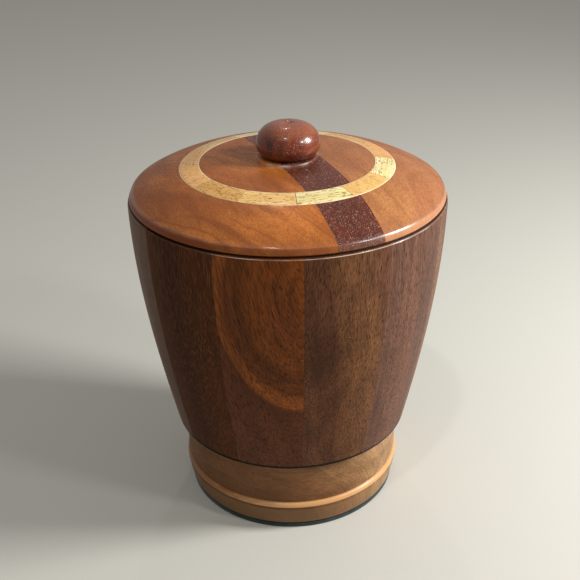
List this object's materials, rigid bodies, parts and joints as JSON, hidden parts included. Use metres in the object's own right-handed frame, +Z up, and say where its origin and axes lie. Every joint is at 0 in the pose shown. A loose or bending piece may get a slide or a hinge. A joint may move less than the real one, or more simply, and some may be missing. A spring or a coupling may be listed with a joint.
{
  "type": "lidded wooden jar",
  "caption": "Round wooden jar of glued staves on a turned foot, with a domed lift-off lid, an inlaid ring and a ball knob.",
  "frame": {"origin": "middle of the felt's underside, on the surface that the jar stands on", "axes": "+Z up along the jar's axis; -Y is the front, from where the picture is taken, with the lid's dark strip running to the front right"},
  "size_m": [0.132, 0.132, 0.1692],
  "materials": {
    "dark_stave_wood": "dark brown open-pored wood, satin lacquer",
    "red_stave_wood": "red-brown open-pored wood, satin lacquer",
    "foot_wood": "light brown close-grained wood, satin lacquer",
    "board_wood": "orange-brown close-grained wood, satin lacquer",
    "strip_wood": "dark purple-brown wood with pale pores, satin lacquer",
    "ring_wood": "pale yellow wood with brown flecks, satin lacquer",
    "knob_wood": "red-brown wood, glossy lacquer",
    "felt": "dark green felt"
  },
  "bodies": {
    "jar": {"felt_pad": "felt", "foot": "foot_wood", "stave_01": "dark_stave_wood", "stave_02": "dark_stave_wood", "stave_03": "red_stave_wood", "stave_04": "dark_stave_wood", "stave_05": "dark_stave_wood", "stave_06": "red_stave_wood", "stave_07": "dark_stave_wood", "stave_08": "dark_stave_wood", "stave_09": "red_stave_wood", "stave_10": "dark_stave_wood", "stave_11": "dark_stave_wood", "stave_12": "red_stave_wood"},
    "lid": {"lid_board_left": "board_wood", "lid_centre_strip": "strip_wood", "lid_board_right": "board_wood", "ring_segment_01": "ring_wood", "ring_segment_02": "ring_wood", "ring_segment_03": "ring_wood", "ring_segment_04": "ring_wood", "ring_segment_05": "ring_wood", "ring_segment_06": "ring_wood", "ring_segment_07": "ring_wood", "ring_segment_08": "ring_wood", "ring_segment_09": "ring_wood", "ring_segment_10": "ring_wood", "ring_segment_11": "ring_wood", "ring_segment_12": "ring_wood", "knob": "knob_wood"}
  },
  "joints": [
    {"name": "lid_lift", "type": "slide", "parent": "jar", "child": "lid", "axis": [0, 0, 1], "range_m": [0, 0.12]}
  ]
}
